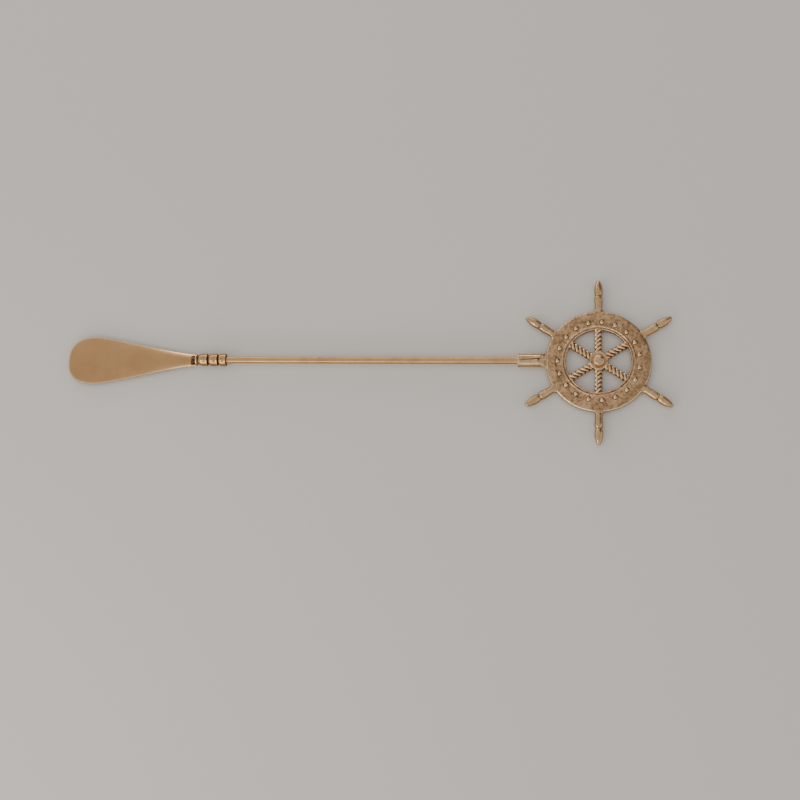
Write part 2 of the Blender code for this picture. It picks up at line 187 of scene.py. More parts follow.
def buildTarnish():
    # bright metal, with darker clouds, small brown specks, and patina that gathers in the recesses, and
    # painted shade that the same mark carries; the worn colour also carries painted highlights
    tree, given, result = newGroup("tarnish", [
        ("Bright", "NodeSocketColor", (0.6, 0.4, 0.2, 1)),
        ("Dull", "NodeSocketColor", (0.4, 0.25, 0.12, 1)),
        ("Patina", "NodeSocketColor", (0.1, 0.06, 0.03, 1)),
        ("Soil And Shade", "NodeSocketFloat", 0.0),
        ("Edge", "NodeSocketFloat", 0.0),
        ("Worn And Highlight", "NodeSocketColor", (0.8, 0.65, 0.45, 1)),
        ("Cloud Scale", "NodeSocketFloat", 90.0),
        ("Cloud Amount", "NodeSocketFloat", 0.5),
        ("Speck Amount", "NodeSocketFloat", 0.2),
        ("Mottle", "NodeSocketFloat", 0.2),
    ], [("Color", "NodeSocketColor"), ("Mask", "NodeSocketFloat")])
    coords = tree.nodes.new("ShaderNodeTexCoord").outputs["Object"]
    clouds = cloudNode(tree, coords, given.outputs["Cloud Scale"], 5, 0.6)
    fine = cloudNode(tree, coords, mathNode(tree, "MULTIPLY", given.outputs["Cloud Scale"], 7.0), 3, 0.65)
    dull = mathNode(tree, "MULTIPLY", rampNode(tree, clouds, 0.36, 0.66), given.outputs["Cloud Amount"])
    specks = mathNode(tree, "MULTIPLY", rampNode(tree, fine, 0.58, 0.72), given.outputs["Speck Amount"])
    uneven = mathNode(tree, "MULTIPLY", mathNode(tree, "SUBTRACT", fine, 0.5), 0.9)
    uneven = mathNode(tree, "MULTIPLY", uneven, given.outputs["Soil And Shade"])
    deep = mathNode(tree, "ADD", given.outputs["Soil And Shade"], uneven)
    mask = mathNode(tree, "MAXIMUM", rampNode(tree, deep, 0.15, 0.85), specks)
    keepBright = mathNode(tree, "SUBTRACT", 1.0, given.outputs["Edge"])
    dull = mathNode(tree, "MULTIPLY", dull, keepBright)
    metal = mixNode(tree, dull, given.outputs["Bright"], given.outputs["Dull"])
    blotches = cloudNode(tree, coords, mathNode(tree, "MULTIPLY", given.outputs["Cloud Scale"], 4.0), 2, 0.6)
    blotches = mathNode(tree, "MULTIPLY", rampNode(tree, blotches, 0.42, 0.68), given.outputs["Mottle"])
    metal = mixNode(tree, mathNode(tree, "MULTIPLY", blotches, keepBright), metal, given.outputs["Patina"])
    metal = mixNode(tree, given.outputs["Edge"], metal, given.outputs["Worn And Highlight"])
    tree.links.new(mixNode(tree, mask, metal, given.outputs["Patina"]), result.inputs["Color"])
    tree.links.new(mask, result.inputs["Mask"])
    return tree


def buildCastSkin():
    # the uneven skin that a casting keeps after filing: low waves, fine grain and a few pits
    tree, given, result = newGroup("castSkin", [
        ("Wave Scale", "NodeSocketFloat", 180.0),
        ("Grain Scale", "NodeSocketFloat", 1500.0),
        ("Waves", "NodeSocketFloat", 0.6),
        ("Grain", "NodeSocketFloat", 0.25),
        ("Pits", "NodeSocketFloat", 0.2),
    ], [("Height", "NodeSocketFloat")])
    coords = tree.nodes.new("ShaderNodeTexCoord").outputs["Object"]
    waves = cloudNode(tree, coords, given.outputs["Wave Scale"], 3, 0.5)
    grain = cloudNode(tree, coords, given.outputs["Grain Scale"], 3, 0.6)
    cells = addNode(tree, "ShaderNodeTexVoronoi")
    tree.links.new(coords, cells.inputs["Vector"])
    tree.links.new(mathNode(tree, "MULTIPLY", given.outputs["Wave Scale"], 2.6), cells.inputs["Scale"])
    pits = rampNode(tree, cells.outputs["Distance"], 0.05, 0.2, -1.0, 0.0)
    total = mathNode(tree, "ADD", mathNode(tree, "MULTIPLY", waves, given.outputs["Waves"]),
                     mathNode(tree, "MULTIPLY", grain, given.outputs["Grain"]))
    total = mathNode(tree, "ADD", total, mathNode(tree, "MULTIPLY", pits, given.outputs["Pits"]))
    tree.links.new(total, result.inputs["Height"])
    return tree


def buildPolishLines():
    # fine scratches left by a buff that runs along the piece
    tree, given, result = newGroup("polishLines", [
        ("Stretch", "NodeSocketVector", (20.0, 900.0, 900.0)),
    ], [("Value", "NodeSocketFloat")])
    coords = tree.nodes.new("ShaderNodeTexCoord").outputs["Object"]
    scaled = addNode(tree, "ShaderNodeVectorMath", operation="MULTIPLY")
    tree.links.new(coords, scaled.inputs[0])
    tree.links.new(given.outputs["Stretch"], scaled.inputs[1])
    lines = addNode(tree, "ShaderNodeTexNoise")
    lines.inputs["Scale"].default_value = 1.0
    lines.inputs["Detail"].default_value = 4
    lines.inputs["Roughness"].default_value = 0.7
    tree.links.new(scaled.outputs[0], lines.inputs["Vector"])
    tree.links.new(lines.outputs["Fac"], result.inputs["Value"])
    return tree


tarnishGroup = buildTarnish()
castSkinGroup = buildCastSkin()
polishLinesGroup = buildPolishLines()


def useGroup(tree, group, values):
    made = addNode(tree, "ShaderNodeGroup", node_tree=group)
    for label, value in values.items():
        slot = made.inputs[label]
        slot.default_value = (*value, 1) if slot.type == "RGBA" else value
    return made


skinDepth = 0.25 * mm
soilRoughness, rubSmoothness = 0.3, 0.08


def makeBrass(name, look):
    made = bpy.data.materials.new(name)
    made.use_nodes = True
    tree = made.node_tree
    shader = tree.nodes["Principled BSDF"]
    shader.inputs["Metallic"].default_value = 1
    # this mark holds patina and painted shade, and the edge mark holds wear and painted highlights
    soilAndShade = addNode(tree, "ShaderNodeAttribute", attribute_name="soilAndShade")
    edge = addNode(tree, "ShaderNodeAttribute", attribute_name="edge")
    tone = useGroup(tree, tarnishGroup, {
        "Bright": look["bright"], "Dull": look["dull"], "Patina": look["patina"], "Worn And Highlight": look["wornAndHighlight"],
        "Cloud Scale": look["cloudScale"], "Cloud Amount": look["clouds"],
        "Speck Amount": look["specks"], "Mottle": look["mottle"],
    })
    tree.links.new(soilAndShade.outputs["Fac"], tone.inputs["Soil And Shade"])
    tree.links.new(edge.outputs["Fac"], tone.inputs["Edge"])
    tree.links.new(tone.outputs["Color"], shader.inputs["Base Color"])
    skin = useGroup(tree, castSkinGroup, {
        "Wave Scale": look["waveScale"], "Grain Scale": look["grainScale"],
        "Waves": look["waves"], "Grain": look["grain"], "Pits": look["pits"],
    })
    lines = useGroup(tree, polishLinesGroup, {"Stretch": look["stretch"]})
    height = mathNode(tree, "ADD", skin.outputs["Height"],
                      mathNode(tree, "MULTIPLY", lines.outputs["Value"], look["lines"]))
    bump = addNode(tree, "ShaderNodeBump")
    bump.inputs["Strength"].default_value = look["bump"]
    bump.inputs["Distance"].default_value = skinDepth
    tree.links.new(height, bump.inputs["Height"])
    tree.links.new(bump.outputs["Normal"], shader.inputs["Normal"])
    low, high = look["rough"]
    streaks = rampNode(tree, lines.outputs["Value"], 0.3, 0.7, low, high)
    soiled = mathNode(tree, "MULTIPLY", tone.outputs["Mask"], soilRoughness)
    rubbedAndHighlit = mathNode(tree, "MULTIPLY", edge.outputs["Fac"], rubSmoothness)
    rough = mathNode(tree, "ADD", streaks, soiled, True)
    rough = mathNode(tree, "SUBTRACT", rough, rubbedAndHighlit, True)
    tree.links.new(rough, shader.inputs["Roughness"])
    return made


castLook = {
    "bright": (0.67, 0.445, 0.26), "dull": (0.42, 0.262, 0.145), "patina": (0.11, 0.07, 0.042),
    "wornAndHighlight": (0.90, 0.72, 0.51), "mottle": 0.52,
    "cloudScale": 95.0, "clouds": 0.9, "specks": 0.42, "rough": (0.20, 0.32), "bump": 1.0,
    "waveScale": 260.0, "grainScale": 1700.0, "waves": 1.35, "grain": 0.25, "pits": 0.3,
    "lines": 0.05, "stretch": (500.0, 500.0, 500.0),
}
bladeLook = {
    "bright": (0.58, 0.355, 0.175), "dull": (0.52, 0.30, 0.15), "patina": (0.13, 0.075, 0.035),
    "wornAndHighlight": (0.85, 0.66, 0.44), "mottle": 0.02,
    "cloudScale": 45.0, "clouds": 0.8, "specks": 0.05, "rough": (0.30, 0.38), "bump": 0.2,
    "waveScale": 90.0, "grainScale": 1500.0, "waves": 0.3, "grain": 0.08, "pits": 0.0,
    "lines": 0.25, "stretch": (25.0, 1400.0, 1400.0),
}
rodLook = dict(bladeLook, bright=(0.69, 0.42, 0.20), dull=(0.58, 0.335, 0.16), rough=(0.22, 0.32),
               cloudScale=70.0, specks=0.12, lines=0.35)
turnedLook = dict(castLook, bright=(0.66, 0.45, 0.245), dull=(0.48, 0.32, 0.18),
                  patina=(0.07, 0.052, 0.036), clouds=0.6, specks=0.2, mottle=0.2,
                  rough=(0.18, 0.28), bump=0.4, waves=0.6, pits=0.1)
socketLook = dict(turnedLook, bright=(0.72, 0.50, 0.29), wornAndHighlight=(0.92, 0.71, 0.48),
                  rough=(0.20, 0.30), bump=0.45, specks=0.3)
neckLook = dict(turnedLook, bright=(0.585, 0.375, 0.18), dull=(0.46, 0.285, 0.14), rough=(0.22, 0.32))
ropeLook = dict(turnedLook, bright=(0.68, 0.48, 0.29), dull=(0.50, 0.35, 0.22),
                patina=(0.05, 0.042, 0.034), specks=0.1, bump=0.5, mottle=0.1)
rivetLook = dict(turnedLook, bright=(0.76, 0.56, 0.36), wornAndHighlight=(0.90, 0.67, 0.43),
                 specks=0.05, mottle=0.05, rough=(0.14, 0.20), bump=0.25)
hubLook = dict(turnedLook, bright=(0.72, 0.51, 0.31), rough=(0.20, 0.30), bump=0.7)
# the dark colour of the gutter's end: painted shade
gutterShadeLook = dict(castLook, bright=(0.33, 0.205, 0.108), dull=(0.25, 0.175, 0.095), rough=(0.42, 0.55),
                clouds=1.0, bump=0.7, patina=(0.10, 0.05, 0.025), mottle=0.4)
bladeBrass = makeBrass("bladeBrass", bladeLook)
rodBrass = makeBrass("rodBrass", rodLook)
neckBrass = makeBrass("neckBrass", neckLook)
gutterShadePaint = makeBrass("gutterShadePaint", gutterShadeLook)
socketBrass = makeBrass("socketBrass", socketLook)
rimBrass = makeBrass("rimBrass", castLook)
rivetBrass = makeBrass("rivetBrass", rivetLook)
ropeBrass = makeBrass("ropeBrass", ropeLook)
gripBrass = makeBrass("gripBrass", turnedLook)
hubBrass = makeBrass("hubBrass", hubLook)
print("finishes ready")


blade = {
    "around": 280, "inward": 36,
    "tip": 26.0 * mm, "round": 2.42, "drawIn": 1.29, "swell": 1.4,
    "depth": 3.0 * mm, "neckDepth": 1.7 * mm, "neckWide": 5.7 * mm, "neckRise": 3.7 * mm,
    "riseCurve": 1.8, "sheet": 1.2 * mm, "toeLift": 2.8 * mm, "toeReach": 1.6,
    "edge": 0.42 * mm, "edgeBand": 1.0 * mm, "tipShare": 0.36,
}
bladeLength = bladeHigh.x - bladeLow.x
bladeHalf = (bladeHigh.y - bladeLow.y) / 2
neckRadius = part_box("neck_collar")[1].y


def bladeHalfWidth(distance):
    if distance < blade["tip"]:
        left = 1 - distance / blade["tip"]
        return bladeHalf * (1 - left ** blade["round"]) ** (1 / blade["round"])
    share = min((distance - blade["tip"]) / (bladeLength - blade["tip"]), 1)
    swell = (1 - share ** blade["drawIn"]) ** blade["swell"]
    return blade["neckWide"] + (bladeHalf - blade["neckWide"]) * swell


def bladeBend(distance):
    # how high the belly is here, and the radius of its round section
    share = min(1, max(0, (distance - blade["tip"]) / (bladeLength - blade["tip"])))
    depth = blade["depth"] + (blade["neckDepth"] - blade["depth"]) * share
    widest = bladeHalfWidth(max(distance, blade["tip"]))
    return blade["neckRise"] * share ** blade["riseCurve"], (widest ** 2 + depth ** 2) / (2 * depth)


def bladeRim(s):
    # from the tip (0) to the neck (1): the point on the medial line, and the point on the edge
    tipShare = blade["tipShare"]
    if s < tipShare:
        angle = math.pi / 2 * s / tipShare
        reach = (abs(math.cos(angle) / blade["tip"]) ** blade["round"]
                 + abs(math.sin(angle) / bladeHalf) ** blade["round"]) ** (-1 / blade["round"])
        return blade["tip"], blade["tip"] - reach * math.cos(angle), reach * math.sin(angle)
    distance = blade["tip"] + (bladeLength - blade["tip"]) * (s - tipShare) / (1 - tipShare)
    return distance, distance, bladeHalfWidth(distance)


def makeBlade():
    bm = bmesh.new()
    bmesh.ops.create_grid(bm, x_segments=blade["around"], y_segments=blade["inward"], size=1)
    edge = bm.verts.layers.float.new("edge")
    for v in bm.verts:
        side = -1 if v.co.x < 0 else 1
        out = (v.co.y + 1) / 2
        medial, edgeX, edgeY = bladeRim(abs(v.co.x))
        x = medial + (edgeX - medial) * out
        belly, radius = bladeBend(x)
        y = side * radius * math.sin(out * math.asin(min(1, edgeY / radius)))
        toe = max(0, 1 - x / (blade["toeReach"] * blade["tip"]))
        z = belly + radius - math.sqrt(max(0, radius ** 2 - y ** 2)) + blade["toeLift"] * toe ** 2
        inset = (1 - out) * math.hypot(edgeX - medial, edgeY)
        v[edge] = max(0, 1 - inset / blade["edgeBand"])
        v.co = (bladeLow.x + x, y, z)
    bmesh.ops.remove_doubles(bm, verts=bm.verts, dist=1e-6)
    piece = addPiece("bladeSheet", bm, bladeBrass, ["blade"])
    sheet = piece.modifiers.new("sheet", "SOLIDIFY")
    sheet.thickness = blade["sheet"]
    sheet.offset = -1
    softened = piece.modifiers.new("softEdge", "BEVEL")
    softened.width = blade["edge"]
    softened.segments = 4
    softened.profile = 0.5
    softened.limit_method = "ANGLE"
    softened.angle_limit = math.radians(50)
    return piece


makeBlade()
print("blade done")


# the neck is a collar, a tongue and three beads; the tongue is a dark fill in the gutter's end, painted shade
neck = {
    "collar": 1.3 * mm, "collarRound": 0.45 * mm, "spigot": 2.0 * mm,
    "collarWorn": 0.5 * mm, "lipAt": 0.9, "mouthAt": 0.93, "lipWorn": 0.6 * mm,
    "tongue": 5.2 * mm, "tongueTop": 0.1 * mm, "tongueWide": 4.3 * mm, "tongueRound": 0.35 * mm,
    "tongueEnd": 3 * mm, "tongueCorner": 0.9 * mm, "tongueTaper": 0.10, "tongueSunk": 0.2 * mm,
    "tongueWave": 0.12 * mm,
    # (share of the length, share of the radius)
    "bead": [(-0.06, 0.34), (-0.05, 0.46), (-0.01, 0.58), (0.06, 0.67), (0.17, 0.785), (0.28, 0.87),
             (0.38, 0.925), (0.59, 0.965), (0.76, 0.97), (0.91, 0.98), (0.985, 1.0), (1.0, 0.985),
             (0.99, 0.93), (0.965, 0.82), (0.955, 0.66), (0.95, 0.34)],
    "lastBead": [(-0.06, 0.34), (-0.05, 0.46), (-0.01, 0.58), (0.06, 0.67), (0.17, 0.79), (0.3, 0.885),
                 (0.5, 0.95), (0.75, 0.95), (0.9, 0.97), (0.98, 1.0), (1.0, 0.99), (0.985, 0.93),
                 (0.94, 0.8), (0.88, 0.64), (0.87, 0.34)],
}


def makeCollar():
    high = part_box("neck_collar")[1]
    r = neck["collarRound"]
    line = [(high.x - neck["collar"], neck["spigot"])]
    half = neck["collar"] / 2
    steps = 8
    for k in range(steps + 1):
        angle = math.pi * k / steps
        line.append((high.x - half - half * math.cos(angle), neckRadius - r + r * math.sin(angle)))
    line.append((high.x, neck["spigot"]))
    bm = spinLine(line, 96, "X", closed=True)
    mark(bm, "soilAndShade", lambda p: 0.85 - math.hypot(p.y, p.z) / neckRadius)
    mark(bm, "edge", lambda p: (math.hypot(p.y, p.z) - neckRadius) / neck["collarWorn"] + 1)
    addPiece("neckCollar", bm, neckBrass, ["neck_collar"], toShaft)
    makeTongue(high.x)


def makeTongue(collarEnd):
    belly, radius = bladeBend(bladeLength)
    wide = neck["tongueWide"]
    floorZ = belly + blade["sheet"]
    bm = bmesh.new()
    bmesh.ops.create_grid(bm, x_segments=30, y_segments=30, size=1)
    soilAndShade = bm.verts.layers.float.new("soilAndShade")
    for v in bm.verts:
        across, along = v.co.y, v.co.x
        nearEdge = min((1 - abs(across)) * wide, (1 + along) * neck["tongueEnd"]) / neck["tongueRound"]
        nearEdge = min(1, max(0, nearEdge))
        corner = max(0, -along) ** 6 * abs(across) ** 6
        y = across * wide * (1 - neck["tongueTaper"] * max(0, -along) ** 3)
        x = collarEnd - neck["collar"] - neck["tongue"] * (1 - along) / 2 + corner * neck["tongueCorner"]
        under = floorZ + y ** 2 / (2 * (radius - blade["sheet"])) - neck["tongueSunk"]
        top = shaftZ + neck["tongueTop"] - neck["tongueWave"] * (0.5 + wobble((x, y, 0), 1.6 * mm, 30))
        # painted shade, darker towards negative y, with random tone
        v[soilAndShade] = 0.55 + 0.45 * wobble((x, y, 0), 2.2 * mm, 31) - 0.3 * y / wide
        v.co = (x, y, max(under, under + (top - under) * math.sqrt(nearEdge)))
    addPiece("gutterTongue", bm, gutterShadePaint, ["neck_collar"])


def makeBeads():
    for number in (1, 2, 3):
        name = f"neck_bead_{number}"
        low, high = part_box(name)
        length, radius = high.x - low.x, high.y
        outline = neck["lastBead"] if number == 3 else neck["bead"]
        line = [(low.x + p.x * length, p.y * radius) for p in smoothLine(outline, 5)]
        bm = spinLine(line, 96, "X", closed=True)
        lip, mouth = low.x + neck["lipAt"] * length, neck["mouthAt"] * radius

        def soilAndShadeOf(p):
            # darkest in the joints, and least of all along the top: patina in the joints, with painted shade
            # that darkens their sides more than their top
            start = 0.5 - (p.x - low.x) / (0.08 * length)
            inside = min(0.7, 3.5 * (mouth - math.hypot(p.y, p.z)) / radius) if p.x > lip else 0
            return max(start, inside) * (0.3 + 0.7 * abs(p.y) / radius)

        def wearAndHighlightOf(p):
            return 1 - abs(p.x - high.x) / neck["lipWorn"] if math.hypot(p.y, p.z) > mouth else 0

        mark(bm, "soilAndShade", soilAndShadeOf)
        mark(bm, "edge", wearAndHighlightOf)
        addPiece(f"neckBead{number}", bm, neckBrass, [name], toShaft)


makeCollar()
makeBeads()
print("neck done")


rod = {"atBeads": 2.85 * mm, "spigot": 1.9 * mm, "intoBead": 1.2 * mm, "around": 64, "along": 90,
       "chamfer": 0.4 * mm, "soiled": 2.2 * mm}


def makeRod():
    low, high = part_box("shaft_rod")
    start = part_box("neck_bead_3")[1].x - rod["intoBead"]
    fat = high.y
    c = rod["chamfer"]
    line = [(low.x, 0), (low.x, rod["spigot"]), (start, rod["spigot"]), (start, rod["atBeads"] - c)]
    for k in range(rod["along"] + 1):
        t = k / rod["along"]
        line.append((start + c + (high.x - start - 2 * c) * t, rod["atBeads"] + (fat - rod["atBeads"]) * t))
    line += [(high.x, fat - c), (high.x, 0)]
    bm = spinLine(line, rod["around"], "X")
    mark(bm, "soilAndShade", lambda p: 0.9 - (p.x - start) / rod["soiled"])
    addPiece("shaftRod", bm, rodBrass, ["shaft_rod"], toShaft, 40)


makeRod()
print("rod done")


# the socket joins the rod to the wheel
socket = {
    "tube": 5.85 * mm, "lip": 6.2 * mm, "lipLength": 1.3 * mm, "bore": 3.45 * mm, "depth": 8 * mm,
    "bevel": 0.35 * mm, "around": 160, "rows": 150, "uneven": 0.07 * mm, "wornLip": 1.8 * mm,
    "foot": 5.4 * mm, "slant": 0.36, "step": 1.0 * mm, "stepRun": 0.4 * mm, "stepSoilAndShade": 0.9 * mm,
    "blend": 3.5 * mm, "farSide": 1.2 * mm, "sideAt": 2.5 * mm, "sideRun": 2 * mm, "notch": 0.17,
    "flare": 1.7 * mm, "into": 2.0 * mm,
    "seamFrom": -9, "seamTo": 2, "seamWidth": 0.8 * mm, "seamDepth": 0.7 * mm, "seamEnd": 0.5 * mm,
}


def makeSocket():
    tube, lip, bore = socket["tube"], socket["lip"], socket["bore"]
    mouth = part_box("wheel_socket")[0].x
    rimEdge = wheelCentre.x - rimRadius
    end = rimEdge + socket["into"]
    apex = rimEdge - socket["foot"]
    lipEnd = mouth + socket["lipLength"]
    tubeStart = lipEnd + 0.4 * mm
    line = [(mouth + socket["depth"], 0), (mouth + socket["depth"], bore),
            (mouth + socket["bevel"], bore), (mouth, bore + socket["bevel"])]
    line += smoothLine([(mouth, lip - 0.4 * mm), (mouth + 0.15 * mm, lip - 0.08 * mm),
                        (mouth + 0.5 * mm, lip), (lipEnd - 0.3 * mm, lip - 0.06 * mm),
                        (lipEnd, tube + 0.02 * mm), (tubeStart, tube)], 3)
    for k in range(1, socket["rows"] + 1):
        line.append((tubeStart + (end - tubeStart) * k / socket["rows"], tube))
    line.append((end, 0))
    bm = spinLine(line, socket["around"], "X")
    soilAndShade = bm.verts.layers.float.new("soilAndShade")
    edge = bm.verts.layers.float.new("edge")
    face = wheelCentre.z + rimHalf - shaftZ
    back = wheelCentre.z - rimHalf + 0.3 * mm - shaftZ
    for v in bm.verts:
        x, y, z = v.co
        radius = math.hypot(y, z)
        if radius < tube - 0.05 * mm:
            continue
        # the lip is worn bright, and the tube's two sides carry a painted highlight
        side = ease((abs(y) - socket["sideAt"]) / socket["sideRun"])
        v[edge] = max(0, 1 - (x - mouth) / socket["wornLip"], 0.45 * side)

        # the seam runs from the lip to the foot, and widens as it goes; it is cut as a groove, and its dark
        # line is a painted dark reflection
        angle = math.atan2(y, z)
        along = min(1, max(0, (x - lipEnd) / (apex - lipEnd)))
        seam = math.radians(socket["seamFrom"] + (socket["seamTo"] - socket["seamFrom"]) * along)
        width = socket["seamWidth"] * (0.75 + 0.95 * along)
        groove = max(0, 1 - abs(angle - seam) * tube / width) * ease((apex - x) / socket["seamEnd"] + 1)
        if x > lipEnd:
            radius -= socket["seamDepth"] * (0.6 + 0.9 * along) * groove ** 0.7
            v[soilAndShade] = min(1, groove * (0.8 + 0.3 * along))
        radius += socket["uneven"] * wobble((x, y, z), 5 * mm, 3)
        y, z = radius * math.sin(angle), radius * math.cos(angle)

        # the far half ends in a slanting step, and the near half runs smoothly down to the rim
        far = ease(y / socket["farSide"])
        start = apex + socket["slant"] * max(0, y)
        run = (x - start) / (rimEdge - start)
        smooth = tube - (tube - face) * ease((x - apex + socket["blend"]) / (end - apex + 3.0 * mm))
        stepped = tube - socket["step"] * ease((x - start) / socket["stepRun"])
        stepped -= (tube - socket["step"] - face) * ease((x - start) / (end - 0.5 * mm - start))
        plane = max(face + 0.05 * mm, smooth + (stepped - smooth) * far)
        if x > apex - socket["blend"] and z > plane:
            z = plane + 0.04 * (z - plane)
        # patina and painted shadow darken the foot of the step, and painted shadow darkens the notch
        if run > 0 and y > 0:
            v[soilAndShade] = max(v[soilAndShade], 0.9 * far * (1 - (x - start) / socket["stepSoilAndShade"]))
            if run < 1:
                notch = math.sin(math.pi * run) ** 0.6 * ease((y - socket["sideAt"]) / socket["sideRun"])
                y *= 1 - socket["notch"] * notch
                v[soilAndShade] = max(v[soilAndShade], 0.8 * notch)

        # it flares into the rim, and its back comes up to the rim's back
        grow = min(1, max(0, (x - apex) / (rimEdge - apex)))
        y *= 1 + socket["flare"] / tube * grow ** 3
        if z < 0 and grow > 0:
            z = max(z, back - (tube + back) * (1 - grow) ** 0.6)
        v.co = (x, y, z)
    addPiece("wheelSocket", bm, socketBrass, ["wheel_socket"], toShaft, 50)


makeSocket()
print("socket done")


rim = {
    "around": 480, "rivetRing": 2.15 * mm, "uneven": 0.13 * mm, "lineWide": 0.7 * mm,
    "outerLine": 45.8 * mm, "ridgeLine": 31.6 * mm, "lipLine": 29.2 * mm, "grooveLine": 30.3 * mm,
    "stepLine": 37.4 * mm, "stepWide": 2.4 * mm, "shadeFrom": 37 * mm, "shadeRun": 2 * mm,
    # (radius, height over the middle plane), in millimetres
    "innerLip": [(28.65, -0.7), (28.6, 0.9), (28.72, 1.6), (29.0, 1.98), (29.4, 2.06), (29.8, 1.9),
                 (30.15, 1.62), (30.5, 1.62), (30.85, 1.85), (31.2, 2.25), (31.6, 2.42), (32.0, 2.28),
                 (32.4, 1.95), (33.0, 1.8)],
    "band": [(33.0, 1.8), (34.0, 1.78), (35.9, 1.79), (36.8, 1.86), (37.5, 2.02), (38.2, 2.22), (39.0, 2.36)],
    "outer": [(39.0, 2.36), (40.4, 2.42), (42.4, 2.34), (44.2, 2.08), (45.2, 1.66), (45.85, 1.0), (46.1, 0.2),
              (46.1, -0.9), (45.9, -1.7), (45.4, -2.2), (44.6, -2.4)],
    "backEdge": [(30.6, -2.4), (29.6, -2.2), (28.9, -1.6), (28.65, -0.7)],
}
rivetPlaces = [middleOf(f"rim_rivet_{n:02d}") - wheelCentre for n in range(1, 20)]


def makeRim():
    line = []
    for part, steps in (("innerLip", 5), ("band", 6), ("outer", 5), ("backEdge", 4)):
        line += smoothLine([(h * mm, r * mm) for r, h in rim[part]], steps)[:-1]
    bm = spinLine(line, rim["around"], "Z", closed=True)
    soilAndShade = bm.verts.layers.float.new("soilAndShade")
    edge = bm.verts.layers.float.new("edge")
    for v in bm.verts:
        r = math.hypot(v.co.x, v.co.y)
        away = min((v.co.xy - place.xy).length for place in rivetPlaces)
        spot = wobble(v.co, 7 * mm, 11)
        # soil rings each rivet and lies in the groove; painted shade lies along the step and darkens the
        # right half, most on the outer band, with random tone
        ring = 0.85 - abs(away - rim["rivetRing"]) / (0.75 * mm)
        groove = 0.62 + 0.5 * spot - abs(r - rim["grooveLine"]) / rim["lineWide"]
        step = 0.3 + 0.45 * spot - abs(r - rim["stepLine"]) / rim["stepWide"]
        outward = min(1, max(0, (r - rim["shadeFrom"]) / rim["shadeRun"]) + 0.4)
        shadeAndTone = 0.34 * max(0, v.co.x / r) * outward + 0.12 * spot
        # the outer edge and the two inner ridges are brighter: wear and painted highlight
        rubbedAndHighlit = max(1.1 - abs(r - rim["outerLine"]) / rim["lineWide"],
                     0.6 - abs(r - rim["ridgeLine"]) / rim["lineWide"],
                     0.6 - abs(r - rim["lipLine"]) / rim["lineWide"])
        onFace = v.co.z > 0
        v[soilAndShade] = max(0, min(1, max(ring, groove, step, shadeAndTone))) if onFace else 0.25
        v[edge] = max(0, min(1, rubbedAndHighlit)) if onFace else 0
        lift = rim["uneven"] * (wobble(v.co, 9 * mm, 1) + 0.45 * wobble(v.co, 2.6 * mm, 2))
        side = rim["uneven"] * (wobble(v.co, 12 * mm, 5) + 0.4 * wobble(v.co, 3 * mm, 6))
        if v.co.z > -2.2 * mm:
            v.co.z += lift
            v.co.xy *= (r + side) / r
    addPiece("wheelRim", bm, rimBrass, ["wheel_rim"], Matrix.Translation(wheelCentre))


rivet = {
    "head": 2.02 * mm, "shank": 0.9 * mm, "seat": 1.7 * mm, "around": 32, "steps": 10,
    "shadeAt": Vector((0.9, 0.8)) * mm, "shadeWide": 0.95 * mm, "footSoil": 0.45 * mm,
    "highlightAt": Vector((-0.8, -0.7)) * mm, "highlightWide": 1.0 * mm,
}


def makeRivets():
    low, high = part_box("rim_rivet_01")
    seat, shank = rivet["seat"], rivet["shank"]
    bottom, top = low.z - wheelCentre.z, high.z - wheelCentre.z

    # patina at the foot, and a painted shade spot on the dome's side towards +x and +y
    def soilAndShadeOf(p):
        far = 1.1 - (p.xy - rivet["shadeAt"]).length / rivet["shadeWide"]
        return max(1 - (p.z - seat) / rivet["footSoil"], far)

    # a painted highlight spot on the dome's side towards -x and -y
    def wearAndHighlightOf(p):
        return 1.2 - (p.xy - rivet["highlightAt"]).length / rivet["highlightWide"]

    for n, place in enumerate(rivetPlaces, 1):
        head = rivet["head"] * (1 + 0.05 * wobble((n, 0, 0), 1, 4))
        line = [(bottom, 0), (bottom, shank), (seat, shank), (seat, head * 0.98)]
        for k in range(1, rivet["steps"] + 1):
            angle = math.pi / 2 * k / rivet["steps"]
            line.append((seat + (top - seat) * math.sin(angle), head * math.cos(angle) ** 0.85))
        bm = spinLine(line, rivet["around"], "Z")
        mark(bm, "soilAndShade", soilAndShadeOf)
        mark(bm, "edge", wearAndHighlightOf)
        addPiece(f"rimRivet{n:02d}", bm, rivetBrass, [f"rim_rivet_{n:02d}"],
                 Matrix.Translation((wheelCentre.x + place.x, place.y, wheelCentre.z)))


makeRim()
makeRivets()
print("rim done")


def directionOf(node):
    # the way that a spoke or grip points, from the wheel's centre to its farthest corner
    far = max((v.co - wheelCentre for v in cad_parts[node].data.vertices), key=lambda p: p.length)
    return math.atan2(far.y, far.x)


rope = {"strand": 1.76 * mm, "lay": 1.74 * mm, "strands": 3, "pitch": 11.8 * mm, "around": 54, "along": 84,
        "start": 7.2 * mm, "end": 30.0 * mm}


def ropeRadius(angle):
    # three round strands, each standing out from the rope's middle
    third = 2 * math.pi / rope["strands"]
    off = (angle + third / 2) % third - third / 2
    return rope["lay"] * math.cos(off) + math.sqrt(rope["strand"] ** 2 - (rope["lay"] * math.sin(off)) ** 2)


